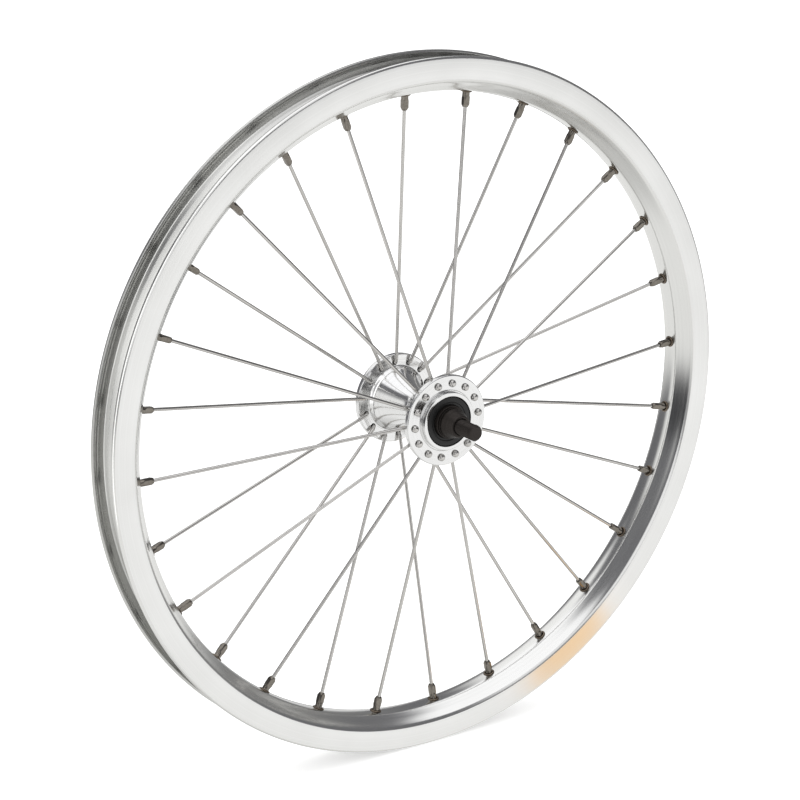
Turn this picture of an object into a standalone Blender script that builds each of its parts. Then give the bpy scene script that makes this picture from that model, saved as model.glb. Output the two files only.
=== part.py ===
"""A small spoked front wheel without its tyre: rim, 28 radial spokes, and a cup-and-cone hub.

Metres, +Z up. The origin is the wheel's centre and the wheel turns about Y. The right side is -Y. An angle in the
wheel's plane is counted from +X towards +Z.
"""

import math

import bmesh
import bpy
from mathutils import Matrix, Vector

MM = 0.001
GAP = 0.3 * MM  # clearance left between pieces that touch

# Rim
RIM_RADIUS = 181 * MM
RIM_HALF_WIDTH = 11.65 * MM
RIM_WALL = 1.55 * MM
BRAKE_TRACK_INNER_RADIUS = 169.4 * MM
BEAD_SEAT_RADIUS = 174.5 * MM
WELL_RADIUS = 170.9 * MM
WELL_HALF_WIDTH = 5.2 * MM
WELL_THICKNESS = 1.3 * MM
HOOK_REACH = 1 * MM  # how far the hooked lip stands in over the bead
SPOKE_BED_RADIUS = 162.4 * MM
SPOKE_BED_HALF_WIDTH = 4.1 * MM
SPOKE_BED_THICKNESS = 1.6 * MM
RIM_SEGMENTS = 56

# Spokes and nipples
SPOKES_PER_SIDE = 14
SPOKE_PITCH = math.tau / (2 * SPOKES_PER_SIDE)
FIRST_SPOKE_ANGLE = math.radians(3.2)
SPOKE_RADIUS = 0.9 * MM
SPOKE_BEND_RADIUS = 2 * MM
SPOKE_HEAD_RADIUS = 1.9 * MM
SPOKE_HEAD_HEIGHT = 1.5 * MM
SPOKE_SIDES = 6
NIPPLE_RADIUS = 1.85 * MM
NIPPLE_TIP_RADIUS = 1.5 * MM
NIPPLE_LENGTH_SHOWN = 8 * MM
NIPPLE_HEAD_RADIUS = 2.7 * MM
NIPPLE_HEAD_HEIGHT = 2.6 * MM
NIPPLE_HOLE_RADIUS = 2.5 * MM
ACCESS_HOLE_RADIUS = 4.2 * MM
VALVE_HOLE_RADIUS = 3.25 * MM
VALVE_ANGLE = FIRST_SPOKE_ANGLE + 6.5 * SPOKE_PITCH  # midway between two spokes, at the top

# Hub shell
FLANGE_RADIUS = 23.5 * MM
FLANGE_INNER_FACE = 21.2 * MM  # distance from the wheel's middle plane
FLANGE_OUTER_FACE = 24.2 * MM
SPOKE_HOLE_CIRCLE_RADIUS = 19.15 * MM
SPOKE_HOLE_RADIUS = 1.4 * MM
BOSS_RADIUS = 14.6 * MM
BOSS_FACE = 26.7 * MM
BEARING_BORE_RADIUS = 13 * MM
BEARING_SHOULDER = 17.3 * MM
CENTRE_BORE_RADIUS = 6.6 * MM
WAIST_RADIUS = 8.6 * MM
FLARE_RADIUS = 16.6 * MM
FLARE_POWER = 1.4  # above 1, the flare curves in like a bell
HUB_SEGMENTS = 28

# Axle and bearings
AXLE_RADIUS = 4 * MM
AXLE_HALF_LENGTH = 50 * MM
AXLE_CHAMFER = 0.8 * MM
AXLE_HOLE_RADIUS = AXLE_RADIUS + GAP
BALL_COUNT = 10
BALL_RADIUS = 2.1 * MM
BALL_CIRCLE_RADIUS = 9 * MM
BALL_PLANE = 20.8 * MM
CAGE_HALF_WIDTH = 0.5 * MM
CONE_RADIUS = 8.5 * MM
CONE_END = 28 * MM
DUST_CAP_INNER_FACE = 23.6 * MM
DUST_CAP_OUTER_FACE = 26.4 * MM
LOCK_WASHER_RADIUS = 8 * MM
LOCK_WASHER_THICKNESS = 1 * MM
LOCKNUT_WIDE_RADIUS = 7.7 * MM
LOCKNUT_RIM_WIDTH = 0.8 * MM  # straight part before the taper
LOCKNUT_END_RADIUS = 5.5 * MM
LOCKNUT_FACE = 37 * MM  # half of the width over the locknuts
BEARING_SEGMENTS = 24


def clear_scene():
    for obj in list(bpy.data.objects):
        bpy.data.objects.remove(obj, do_unlink=True)


def material(name, colour, roughness, metallic):
    made = bpy.data.materials.new(name)
    made.use_nodes = True
    shader = made.node_tree.nodes["Principled BSDF"]
    shader.inputs["Base Color"].default_value = (*colour, 1)
    shader.inputs["Roughness"].default_value = roughness
    shader.inputs["Metallic"].default_value = metallic
    return made


def new_object(name, mesh, parent=None):
    obj = bpy.data.objects.new(name, mesh)
    bpy.context.scene.collection.objects.link(obj)
    obj.parent = parent
    return obj


def mesh_from(name, bm, finish=None):
    """The bmesh as a mesh with outward faces, shaded smooth but for its edges."""
    bmesh.ops.recalc_face_normals(bm, faces=bm.faces[:])
    mesh = bpy.data.meshes.new(name)
    bm.to_mesh(mesh)
    bm.free()
    if finish:
        mesh.materials.append(finish)
    mesh.shade_smooth()
    mesh.set_sharp_from_angle(angle=math.radians(30))
    return mesh


def turned_mesh(name, profile, segments, finish=None):
    """A ring: the closed outline of (radius, y) points, turned about the Y axis."""
    bm = bmesh.new()
    corners = [bm.verts.new((radius, y, 0)) for radius, y in profile]
    edges = [bm.edges.new(pair) for pair in zip(corners, corners[1:] + corners[:1])]
    turn = {"cent": (0, 0, 0), "axis": (0, 1, 0), "angle": math.tau, "steps": segments}
    bmesh.ops.spin(bm, geom=corners + edges, use_merge=True, **turn)
    return mesh_from(name, bm, finish)


def mirrored(half):
    """A half outline, given for y > 0, followed by its mirror image in reverse order."""
    return half + [(radius, -y) for radius, y in reversed(half)]


def on_side(profile, side):
    return [(radius, side * y) for radius, y in profile]


def drill(bm, radius, centre, axis, length, sides=8):
    """Adds one closed cylinder, a drill's swept space, to the bmesh."""
    turn = Vector((0, 0, 1)).rotation_difference(axis).to_matrix().to_4x4()
    bmesh.ops.create_cone(
        bm,
        cap_ends=True,
        segments=sides,
        radius1=radius,
        radius2=radius,
        depth=length,
        matrix=Matrix.Translation(centre) @ turn,
    )


def radial(angle):
    return Vector((math.cos(angle), 0, math.sin(angle)))


def add_cutter(obj, name, mesh):
    cutter = new_object(name, mesh, obj.parent)
    cutter.hide_render = True
    cutter.display_type = "WIRE"
    cut = obj.modifiers.new(name, "BOOLEAN")
    cut.operation = "DIFFERENCE"
    cut.object = cutter


def spoke_angle(number, side):
    """The angle of a side's spoke. The left side's spokes lie midway between the right side's."""
    return FIRST_SPOKE_ANGLE + SPOKE_PITCH * (2 * number + (1 if side > 0 else 0))


def rim_outline():
    """The rim's outer skin: side walls, hooked tyre channel and the raised band that holds the nipples."""
    side = RIM_HALF_WIDTH
    channel = RIM_HALF_WIDTH - RIM_WALL
    shoulder_radius = (BRAKE_TRACK_INNER_RADIUS + SPOKE_BED_RADIUS) / 2
    return mirrored(
        [
            (WELL_RADIUS, WELL_HALF_WIDTH),
            (BEAD_SEAT_RADIUS - 1 * MM, channel - 2 * MM),
            (BEAD_SEAT_RADIUS, channel),
            (RIM_RADIUS - 3 * MM, channel),
            (RIM_RADIUS - 1.6 * MM, channel - HOOK_REACH),
            (RIM_RADIUS - 0.4 * MM, channel - 0.6 * HOOK_REACH),
            (RIM_RADIUS, channel + 0.4 * MM),
            (RIM_RADIUS - 0.7 * MM, side),
            (BRAKE_TRACK_INNER_RADIUS, side),
            (BRAKE_TRACK_INNER_RADIUS - 1.4 * MM, side - 0.9 * MM),
            (shoulder_radius - 0.6 * MM, side - 4 * MM),
            (SPOKE_BED_RADIUS + 0.5 * MM, SPOKE_BED_HALF_WIDTH + 0.8 * MM),
            (SPOKE_BED_RADIUS, SPOKE_BED_HALF_WIDTH),
        ]
    )


def rim_cavity_outline():
    """The hollow between the spoke bed and the well."""
    bed_top = SPOKE_BED_RADIUS + SPOKE_BED_THICKNESS
    well_underside = WELL_RADIUS - WELL_THICKNESS
    channel = RIM_HALF_WIDTH - RIM_WALL
    return mirrored(
        [
            (bed_top, SPOKE_BED_HALF_WIDTH - 0.2 * MM),
            (bed_top + 1.9 * MM, SPOKE_BED_HALF_WIDTH + 2.7 * MM),
            (BRAKE_TRACK_INNER_RADIUS - 0.2 * MM, channel - 0.3 * MM),
            (well_underside + 2.4 * MM, channel - 0.3 * MM),
            (well_underside, WELL_HALF_WIDTH - 0.4 * MM),
        ]
    )


def rim_holes():
    """Holes through the spoke bed for nipples and valve, each under a wider one through the well."""
    bm = bmesh.new()
    bed_middle = SPOKE_BED_RADIUS + SPOKE_BED_THICKNESS / 2
    well_middle = WELL_RADIUS - WELL_THICKNESS / 2
    holes = [(spoke_angle(number, side), NIPPLE_HOLE_RADIUS) for side in (-1, 1) for number in range(SPOKES_PER_SIDE)]
    for angle, bed_hole_radius in holes + [(VALVE_ANGLE, VALVE_HOLE_RADIUS)]:
        out = radial(angle)
        drill(bm, bed_hole_radius, out * bed_middle, out, 3 * MM)
        drill(bm, ACCESS_HOLE_RADIUS, out * well_middle, out, 3 * MM)
    return mesh_from("rim_holes", bm)


def add_rim(parent, finish):
    rim = new_object("rim", turned_mesh("rim", rim_outline(), RIM_SEGMENTS, finish), parent)
    add_cutter(rim, "rim_cavity", turned_mesh("rim_cavity", rim_cavity_outline(), RIM_SEGMENTS))
    add_cutter(rim, "rim_holes", rim_holes())


def flare_point(share):
    """A point on the bell between the waist (share 0) and the flange (share 1)."""
    radius = WAIST_RADIUS + (FLARE_RADIUS - WAIST_RADIUS) * share**FLARE_POWER
    return radius, FLANGE_INNER_FACE * share


def hub_outline():
    edge = 0.6 * MM
    return mirrored(
        [flare_point(share) for share in (0.15, 0.4, 0.65, 0.85, 0.95)]
        + [
            (FLARE_RADIUS + 0.8 * MM, FLANGE_INNER_FACE),
            (FLANGE_RADIUS - edge, FLANGE_INNER_FACE),
            (FLANGE_RADIUS, FLANGE_INNER_FACE + edge),
            (FLANGE_RADIUS, FLANGE_OUTER_FACE - edge),
            (FLANGE_RADIUS - edge, FLANGE_OUTER_FACE),
            (BOSS_RADIUS, FLANGE_OUTER_FACE),
            (BOSS_RADIUS, BOSS_FACE - edge),
            (BOSS_RADIUS - edge, BOSS_FACE),
            (BEARING_BORE_RADIUS, BOSS_FACE),
            (BEARING_BORE_RADIUS, BEARING_SHOULDER),
            (CENTRE_BORE_RADIUS, BEARING_SHOULDER),
        ]
    )


def hub_loop():
    """The hub's whole outline. Its two halves meet at the waist outside and along the centre bore inside."""
    half = hub_outline()[: len(hub_outline()) // 2]
    return list(reversed(half)) + [(radius, -y) for radius, y in half]


def flange_holes():
    bm = bmesh.new()
    middle = (FLANGE_INNER_FACE + FLANGE_OUTER_FACE) / 2
    for side in (-1, 1):
        for number in range(SPOKES_PER_SIDE):
            centre = radial(spoke_angle(number, side)) * SPOKE_HOLE_CIRCLE_RADIUS
            centre.y = side * middle
            drill(bm, SPOKE_HOLE_RADIUS, centre, Vector((0, 1, 0)), 5 * MM)
    return mesh_from("flange_holes", bm)


def add_hub_shell(parent, finish):
    shell = new_object("hub_shell", turned_mesh("hub_shell", hub_loop(), HUB_SEGMENTS, finish), parent)
    add_cutter(shell, "flange_holes", flange_holes())


def spoke_stations(side):
    """The spoke's rings from its head to its nipple's head: (distance from the axis, y, turn, ring radius).

    turn is the angle between the spoke's direction and the Y axis: 0 in the flange, and nearly a right angle along
    the straight, which ends in the middle of the spoke bed.
    """
    face = FLANGE_OUTER_FACE + GAP
    bend_start = FLANGE_INNER_FACE + 0.45 * MM
    bed_middle = SPOKE_BED_RADIUS + SPOKE_BED_THICKNESS / 2
    run = bed_middle - SPOKE_HOLE_CIRCLE_RADIUS - SPOKE_BEND_RADIUS
    last_turn = math.pi / 2 - math.atan2(bend_start - SPOKE_BEND_RADIUS, run)

    def on_head(height, ring):
        return SPOKE_HOLE_CIRCLE_RADIUS, side * (face + height), 0, ring

    def on_bend(turn):
        out = SPOKE_BEND_RADIUS * (1 - math.cos(turn))
        inward = SPOKE_BEND_RADIUS * math.sin(turn)
        return SPOKE_HOLE_CIRCLE_RADIUS + out, side * (bend_start - inward), turn, SPOKE_RADIUS

    def on_straight(radius, ring):
        return radius, side * (bed_middle - radius) / math.tan(last_turn), last_turn, ring

    tip = SPOKE_BED_RADIUS - NIPPLE_LENGTH_SHOWN
    seat = SPOKE_BED_RADIUS + SPOKE_BED_THICKNESS + GAP + 0.2 * MM
    return (
        [
            on_head(SPOKE_HEAD_HEIGHT, SPOKE_HEAD_RADIUS * 0.55),
            on_head(SPOKE_HEAD_HEIGHT * 0.7, SPOKE_HEAD_RADIUS),
            on_head(SPOKE_HEAD_HEIGHT * 0.25, SPOKE_HEAD_RADIUS),
            on_head(0, SPOKE_RADIUS),
        ]
        + [on_bend(last_turn * share) for share in (0, 0.35, 0.7, 1)]
        + [
            on_straight(tip, SPOKE_RADIUS),
            on_straight(tip, NIPPLE_TIP_RADIUS),
            on_straight(tip + 0.8 * MM, NIPPLE_RADIUS),
            on_straight(seat, NIPPLE_RADIUS),
            on_straight(seat, NIPPLE_HEAD_RADIUS),
            on_straight(seat + NIPPLE_HEAD_HEIGHT * 0.75, NIPPLE_HEAD_RADIUS),
            on_straight(seat + NIPPLE_HEAD_HEIGHT, NIPPLE_HEAD_RADIUS * 0.6),
        ]
    )


def spoke_mesh(name, side, finish):
    """One spoke with its nipple, lying along +X: six-sided rings across its path, joined and closed."""
    bm = bmesh.new()
    rings = []
    for out, y, turn, ring in spoke_stations(side):
        across = Vector((math.cos(turn), side * math.sin(turn), 0))
        centre = Vector((out, y, 0))
        corners = []
        for corner in range(SPOKE_SIDES):
            around = math.tau * corner / SPOKE_SIDES
            point = centre + ring * (math.cos(around) * across + math.sin(around) * Vector((0, 0, 1)))
            corners.append(bm.verts.new(point))
        rings.append(corners)
    for ring, following in zip(rings, rings[1:]):
        for corner in range(SPOKE_SIDES):
            after = (corner + 1) % SPOKE_SIDES
            bm.faces.new((ring[corner], ring[after], following[after], following[corner]))
    bm.faces.new(rings[0])
    bm.faces.new(rings[-1])
    return mesh_from(name, bm, finish)


def add_spokes(parent, finish):
    for side, word in ((-1, "right"), (1, "left")):
        mesh = spoke_mesh(f"spoke_{word}", side, finish)
        for number in range(SPOKES_PER_SIDE):
            spoke = new_object(f"spoke_{word}_{number + 1:02d}", mesh, parent)
            spoke.rotation_euler.y = -spoke_angle(number, side)


def cup_outline():
    """A pressed-in cup, with the curved race that the balls run in."""
    outer = BEARING_BORE_RADIUS - GAP
    floor = BEARING_SHOULDER + GAP
    race = BALL_RADIUS + 0.45 * MM
    arc = []
    for degrees in (0, 30, 60, 90):
        turn = math.radians(degrees)
        arc.append((BALL_CIRCLE_RADIUS + race * math.sin(turn), BALL_PLANE - race * math.cos(turn)))
    lip = DUST_CAP_INNER_FACE - GAP
    return [(outer, lip), (outer, floor), (7 * MM, floor), (7 * MM, arc[0][1])] + arc + [(arc[-1][0], lip)]


def cone_outline():
    """A screwed-on cone: its race leans against the balls and its collar comes out through the dust cap."""
    race = BALL_RADIUS + 0.45 * MM
    arc = []
    for degrees in (0, 30, 60):
        turn = math.radians(degrees)
        arc.append((BALL_CIRCLE_RADIUS - race * math.cos(turn), BALL_PLANE + race * math.sin(turn)))
    return (
        [(AXLE_HOLE_RADIUS, BALL_PLANE - 3.2 * MM), (5.8 * MM, BALL_PLANE - 3.2 * MM)]
        + arc
        + [
            (CONE_RADIUS, arc[-1][1] + 0.3 * MM),
            (CONE_RADIUS, CONE_END - 0.9 * MM),
            (CONE_RADIUS - 0.9 * MM, CONE_END),
            (AXLE_HOLE_RADIUS, CONE_END),
        ]
    )


def dust_cap_outline():
    outer = BEARING_BORE_RADIUS - GAP
    hole = CONE_RADIUS + GAP
    skin = 1.2 * MM
    return [
        (outer, DUST_CAP_INNER_FACE),
        (outer, DUST_CAP_OUTER_FACE - 0.6 * MM),
        (outer - 0.6 * MM, DUST_CAP_OUTER_FACE),
        (hole, DUST_CAP_OUTER_FACE),
        (hole, DUST_CAP_OUTER_FACE - skin),
        (outer - skin, DUST_CAP_OUTER_FACE - skin),
        (outer - skin, DUST_CAP_INNER_FACE),
    ]


def lock_washer_outline():
    start = CONE_END + GAP
    end = start + LOCK_WASHER_THICKNESS
    return [(AXLE_HOLE_RADIUS, start), (LOCK_WASHER_RADIUS, start), (LOCK_WASHER_RADIUS, end), (AXLE_HOLE_RADIUS, end)]


def locknut_outline():
    start = CONE_END + LOCK_WASHER_THICKNESS + 2 * GAP
    return [
        (AXLE_HOLE_RADIUS, start),
        (LOCKNUT_WIDE_RADIUS, start),
        (LOCKNUT_WIDE_RADIUS, start + LOCKNUT_RIM_WIDTH),
        (LOCKNUT_END_RADIUS, LOCKNUT_FACE),
        (AXLE_HOLE_RADIUS, LOCKNUT_FACE),
    ]


def ball_ring_mesh(name, side):
    """Only the balls, each a low sphere on the ball circle."""
    bm = bmesh.new()
    for number in range(BALL_COUNT):
        centre = radial(math.tau * number / BALL_COUNT) * BALL_CIRCLE_RADIUS
        centre.y = side * BALL_PLANE
        bmesh.ops.create_icosphere(bm, subdivisions=1, radius=BALL_RADIUS, matrix=Matrix.Translation(centre))
    return mesh_from(name, bm)


def add_ball_ring(name, side, parent, finish):
    """The cage, a flat ring, with the balls joined on by a union."""
    inner = BALL_CIRCLE_RADIUS - 0.9 * MM
    outer = BALL_CIRCLE_RADIUS + 0.9 * MM
    low = BALL_PLANE - CAGE_HALF_WIDTH
    high = BALL_PLANE + CAGE_HALF_WIDTH
    cage = on_side([(inner, low), (outer, low), (outer, high), (inner, high)], side)
    ring = new_object(name, turned_mesh(name, cage, 2 * BALL_COUNT, finish), parent)
    balls = new_object(f"{name}_balls", ball_ring_mesh(f"{name}_balls", side), parent)
    balls.hide_render = True
    balls.display_type = "WIRE"
    join = ring.modifiers.new("balls", "BOOLEAN")
    join.operation = "UNION"
    join.object = balls


def add_axle(parent, finish):
    """A solid bar with chamfered ends."""
    half_length = AXLE_HALF_LENGTH
    bm = bmesh.new()
    profile = [
        (0, half_length),
        (AXLE_RADIUS - AXLE_CHAMFER, half_length),
        (AXLE_RADIUS, half_length - AXLE_CHAMFER),
        (AXLE_RADIUS, -half_length + AXLE_CHAMFER),
        (AXLE_RADIUS - AXLE_CHAMFER, -half_length),
        (0, -half_length),
    ]
    points = [bm.verts.new((radius, y, 0)) for radius, y in profile]
    edges = [bm.edges.new(pair) for pair in zip(points, points[1:])]
    turn = {"cent": (0, 0, 0), "axis": (0, 1, 0), "angle": math.tau, "steps": BEARING_SEGMENTS}
    bmesh.ops.spin(bm, geom=points + edges, use_merge=True, **turn)
    bmesh.ops.remove_doubles(bm, verts=bm.verts[:], dist=0.01 * MM)
    new_object("axle", mesh_from("axle", bm, finish), parent)


def add_turned(name, profile, parent, finish):
    new_object(name, turned_mesh(name, profile, BEARING_SEGMENTS, finish), parent)


def main():
    clear_scene()
    alloy = material("rim_alloy", (0.8, 0.8, 0.79), 0.3, 1)
    polished = material("polished_alloy", (0.85, 0.85, 0.86), 0.12, 1)
    stainless = material("stainless_steel", (0.6, 0.59, 0.57), 0.25, 1)
    black = material("black_steel", (0.02, 0.02, 0.02), 0.4, 0.6)
    hard_steel = material("bearing_steel", (0.55, 0.55, 0.57), 0.15, 1)
    rubber = material("black_cap", (0.015, 0.015, 0.015), 0.5, 0)

    axle_assembly = new_object("axle_assembly", None)
    wheel = new_object("wheel", None, axle_assembly)
    add_axle(axle_assembly, black)
    add_rim(wheel, alloy)
    add_hub_shell(wheel, polished)
    add_spokes(wheel, stainless)
    for side, word in ((-1, "right"), (1, "left")):
        add_turned(f"bearing_cup_{word}", on_side(cup_outline(), side), wheel, hard_steel)
        add_turned(f"dust_cap_{word}", on_side(dust_cap_outline(), side), wheel, rubber)
        add_turned(f"cone_{word}", on_side(cone_outline(), side), axle_assembly, black)
        add_turned(f"lock_washer_{word}", on_side(lock_washer_outline(), side), axle_assembly, black)
        add_turned(f"locknut_{word}", on_side(locknut_outline(), side), axle_assembly, black)
        ball_ring = new_object(f"ball_ring_{word}_centre", None, axle_assembly)
        add_ball_ring(f"ball_ring_{word}", side, ball_ring, hard_steel)


main()
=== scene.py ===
"""Looks of a small spoked front wheel without its tyre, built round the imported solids.

Metres, +Z up. The wheel turns about the Y axis, its right side is -Y, and an angle in its plane is counted from +X
towards +Z. The pieces' classes give their lengths in millimetres.
"""

import logging
import math
from dataclasses import dataclass
from enum import Enum
from typing import Any, Sequence

import bmesh
import bpy
import numpy as np
from bpy.types import ID, Material, Node, NodeSocket, NodeTree, Object
from mathutils import Matrix


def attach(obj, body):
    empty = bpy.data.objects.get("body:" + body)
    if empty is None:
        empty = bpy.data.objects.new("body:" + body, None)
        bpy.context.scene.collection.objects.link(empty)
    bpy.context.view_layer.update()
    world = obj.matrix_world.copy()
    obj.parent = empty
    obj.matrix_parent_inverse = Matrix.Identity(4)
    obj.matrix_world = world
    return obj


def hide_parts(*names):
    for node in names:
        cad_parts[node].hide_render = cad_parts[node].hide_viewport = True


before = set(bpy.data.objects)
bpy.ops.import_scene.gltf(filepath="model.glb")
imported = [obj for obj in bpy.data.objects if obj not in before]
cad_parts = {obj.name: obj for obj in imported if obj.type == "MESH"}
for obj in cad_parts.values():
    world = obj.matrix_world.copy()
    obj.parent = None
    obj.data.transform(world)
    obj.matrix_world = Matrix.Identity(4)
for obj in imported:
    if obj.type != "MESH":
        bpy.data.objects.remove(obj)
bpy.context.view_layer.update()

Array = np.ndarray
Pair = tuple[float, float]
Triple = tuple[float, float, float]
Corners = Sequence[Triple]  # (radius, y, how much of each side a bend takes), in millimetres

MM = 0.001
WHEEL = "wheel"
AXLE_ASSEMBLY = "axle_assembly"
SPOKES_PER_SIDE = 14
SPOKE_COUNT = 2 * SPOKES_PER_SIDE
FIRST_SPOKE = math.radians(3.2)
HOLE_CIRCLE = 19.15  # radius of the ring of spoke holes, in millimetres like the next four
FLANGE_INNER = 21.2
FLANGE_OUTER = 24.2
BED_RADIUS = 162.4
BED_THICKNESS = 1.6
VALVE_PLACE = 6.5  # pitches from the first spoke, so midway between two
SHARP_ANGLE = math.radians(32)  # edges that bend more than this stay crisp
MERGE_DISTANCE = 0.0005 * MM
PATCH_COLUMNS = 3  # half the width of the patch round a hole
PATCH_ROWS = 7  # rows over the flat stretch that a patch spans
BLOTCH_SIZE = 30 * MM  # the slow changes in a metal's tone
RING_SHARES = (0.35, 0.7, 0.92, 1.0)  # how far from a patch's border to its hole each ring lies
FACE_WEIGHT = 100  # how much being off the face counts against being off the place

log = logging.getLogger("wheel")


class Side(Enum):
    """A side of the wheel, with its sign along Y."""

    RIGHT = -1
    LEFT = 1

    @property
    def word(self) -> str:
        """The side's name as the nodes have it."""
        return self.name.lower()

    def spoke_angle(self, number: int) -> float:
        """The angle of this side's spoke. The left side's spokes lie midway between the right side's."""
        return FIRST_SPOKE + math.tau / SPOKE_COUNT * (2 * number + (self is Side.LEFT))


class Grain(Enum):
    """The way a surface's marks run."""

    TURNED = "turned"  # rings about the wheel's axis
    DRAWN = "drawn"  # streaks along the piece
    CAST = "cast"  # no direction


# ---- meshes


def link(name: str, data: ID) -> Object:
    """Adds an object to the scene.

    Args:
        name: its name.
        data: its mesh or camera.

    Returns:
        The object, at the origin.
    """
    made = bpy.data.objects.new(name, data)
    bpy.context.scene.collection.objects.link(made)
    return made


class Surface:
    """Gathers points and quads as arrays, and makes one closed mesh of them."""

    def __init__(self) -> None:
        """Starts with no points."""
        self._points: list[Array] = []
        self._grain: list[Array] = []
        self._quads: list[Array] = []
        self._slots: list[Array] = []
        self._count = 0

    def add_points(self, xyz: Array, grain: Array | None = None) -> Array:
        """Adds points.

        Args:
            xyz: positions in metres, of any shape ending in 3.
            grain: one vector a point that a streaked finish reads, or None for zeros.

        Returns:
            The points' numbers, in the shape of xyz without its last axis.
        """
        flat = xyz.reshape(-1, 3)
        self._points.append(flat)
        self._grain.append(np.zeros_like(flat) if grain is None else grain.reshape(-1, 3))
        numbers = np.arange(self._count, self._count + len(flat))
        self._count += len(flat)
        return numbers.reshape(xyz.shape[:-1])

    def add_band(self, rows: Array, slot: int | Array = 0, keep: Array | None = None, closed: bool = False) -> None:
        """Joins each row of points to the next with quads, round and round.

        Args:
            rows: point numbers, one row of the band after another.
            slot: the material slot, or one for each gap between rows.
            keep: False where a quad is left out, for each gap and column.
            closed: whether the last row leads back to the first.
        """
        rows = np.concatenate([rows, rows[:1]]) if closed else rows
        ahead = np.roll(rows, -1, axis=1)
        quads = np.stack([rows[:-1], ahead[:-1], ahead[1:], rows[1:]], -1)
        slots = np.broadcast_to(np.reshape(slot, (-1, 1)), quads.shape[:2])
        chosen = np.ones(quads.shape[:2], bool) if keep is None else keep
        self._quads.append(quads[chosen])
        self._slots.append(slots[chosen])

    def add_sleeves(self, rings: Sequence[Array], slot: int = 0) -> None:
        """Joins rings into a sleeve for each hole.

        Args:
            rings: point numbers, one row a hole, for each ring in turn.
            slot: the material slot.
        """
        for sleeve in np.stack(rings, axis=1):
            self.add_band(sleeve, slot)

    def to_object(self, name: str, finishes: Sequence[Material]) -> Object:
        """Makes the object: doubles merged, normals outward, smooth but for its sharp edges.

        Args:
            name: the piece's name.
            finishes: its materials, in slot order.

        Returns:
            The object, at the origin.
        """
        points = np.concatenate(self._points)
        quads = np.concatenate(self._quads)
        mesh = bpy.data.meshes.new(name)
        mesh.vertices.add(len(points))
        mesh.vertices.foreach_set("co", points.astype(np.float32).ravel())
        mesh.loops.add(quads.size)
        mesh.loops.foreach_set("vertex_index", quads.astype(np.int32).ravel())
        mesh.polygons.add(len(quads))
        mesh.polygons.foreach_set("loop_start", np.arange(0, quads.size, 4, dtype=np.int32))
        mesh.polygons.foreach_set("material_index", np.concatenate(self._slots).astype(np.int32))
        mesh.update(calc_edges=True)
        grain = mesh.attributes.new("grain", "FLOAT_VECTOR", "POINT")
        grain.data.foreach_set("vector", np.concatenate(self._grain).astype(np.float32).ravel())
        for finish in finishes:
            mesh.materials.append(finish)
        bm = bmesh.new()
        bm.from_mesh(mesh)
        bmesh.ops.remove_doubles(bm, verts=bm.verts[:], dist=MERGE_DISTANCE)
        bmesh.ops.recalc_face_normals(bm, faces=bm.faces[:])
        bm.to_mesh(mesh)
        bm.free()
        mesh.shade_smooth()
        mesh.set_sharp_from_angle(angle=SHARP_ANGLE)
        return link(name, mesh)


def rounded(corners: Corners, steps: int = 2, closed: bool = False) -> Array:
    """A line through corners with each one cut back and bent.

    A corner at C is replaced by the curve (1-t)^2 A + 2t(1-t) C + t^2 B, where A and B lie its cut length before and
    after C. The ends of an open line stay where they are.

    Args:
        corners: (radius, y, cut length) in millimetres.
        steps: segments in each bend.
        closed: whether the last corner leads back to the first.

    Returns:
        (radius, y) in millimetres, one row a point.
    """
    table = np.array(corners, float)
    here = table[:, :2]
    before = np.roll(here, 1, axis=0) - here
    after = np.roll(here, -1, axis=0) - here
    cut = table[:, 2:3]
    if not closed:
        cut[0] = cut[-1] = 0
    start = here + before * cut / np.linalg.norm(before, axis=1, keepdims=True)
    end = here + after * cut / np.linalg.norm(after, axis=1, keepdims=True)
    share = np.linspace(0, 1, steps + 1)[None, :, None]
    bend = (1 - share) ** 2 * start[:, None] + 2 * share * (1 - share) * here[:, None] + share**2 * end[:, None]
    wanted = np.ones((len(table), steps + 1), bool)
    wanted[table[:, 2] == 0, 1:] = False
    return bend[wanted]


def turns(count: int) -> Array:
    """A number of even angles once round, from 0, in radians."""
    return math.tau * np.arange(count) / count


def spun(radius: Array, y: Array, angle: Array) -> Array:
    """Points about the Y axis: x = radius cos(angle), z = radius sin(angle).

    Args:
        radius: millimetres from the axis, one row a ring.
        y: millimetres along it, in the same way.
        angle: the columns' angles.

    Returns:
        Points in metres, of shape (rows, columns, 3).
    """
    return np.stack([radius * np.cos(angle), y + 0 * angle, radius * np.sin(angle)], -1) * MM


def face_rows(miss: Array, along: Array, ends: Pair) -> tuple[int, int]:
    """The rows of a profile that lie on a face, the nearest to two places there.

    Args:
        miss: how far each row is off the face.
        along: where each row is along it.
        ends: the two places.

    Returns:
        The rows' numbers.
    """
    first, last = (int(np.argmin(FACE_WEIGHT * miss + np.abs(along - end))) for end in ends)
    return first, last


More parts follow.
